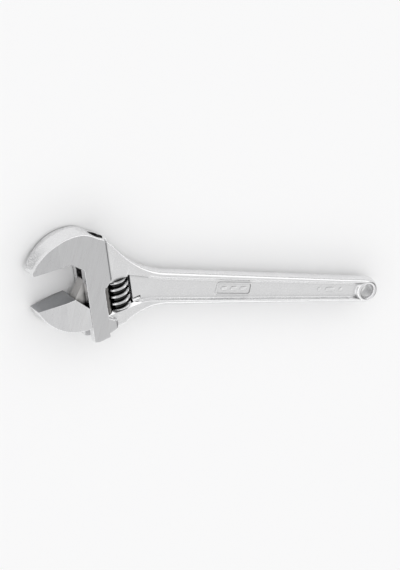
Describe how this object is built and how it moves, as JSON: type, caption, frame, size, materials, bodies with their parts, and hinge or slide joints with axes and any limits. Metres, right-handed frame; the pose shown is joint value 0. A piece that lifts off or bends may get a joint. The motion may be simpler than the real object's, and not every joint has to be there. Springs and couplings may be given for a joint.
{
  "type": "adjustable wrench",
  "caption": "Forged adjustable wrench: an angled head with a fixed jaw, a jaw that slides on a rack turned by a knurled worm, and a recessed handle with a hanging hole.",
  "frame": {"origin": "under the middle of the wrench's bounding box, on the surface that its back ground face lies on", "axes": "+X along the handle from the jaws to the hanging hole, +Y across the handle towards the fixed jaw, +Z out of the front face; the jaws are drawn open at 36.7 mm"},
  "size_m": [0.386, 0.1079, 0.0238],
  "materials": {
    "plated_forging": "satin chrome plate, ground flat on the head's faces",
    "ground_jaw": "ground and satin plated",
    "polished_knurl": "turned and polished",
    "pin_steel": "turned steel, lightly oiled",
    "spring_wire": "drawn spring wire"
  },
  "bodies": {
    "root": {"body": "plated_forging", "knurl_pin": "pin_steel", "knurl_spring": "spring_wire"},
    "knurl": {"knurl": "polished_knurl"},
    "movable_jaw": {"movable_jaw": "ground_jaw"}
  },
  "joints": [
    {"name": "knurl_spin", "type": "hinge", "parent": "root", "child": "knurl", "pos_m": [-0.09, -0.00717, 0.0119], "axis": [-0.3827, 0.9239, 0], "range_deg": [-1851, 320]},
    {"name": "jaw_slide", "type": "slide", "parent": "root", "child": "movable_jaw", "axis": [0.3827, -0.9239, 0], "range_m": [-0.0365, 0.0063]}
  ],
  "couplings": [
    {"joint": "knurl_spin", "follows": "jaw_slide", "rad_per_m": 884.96}
  ]
}
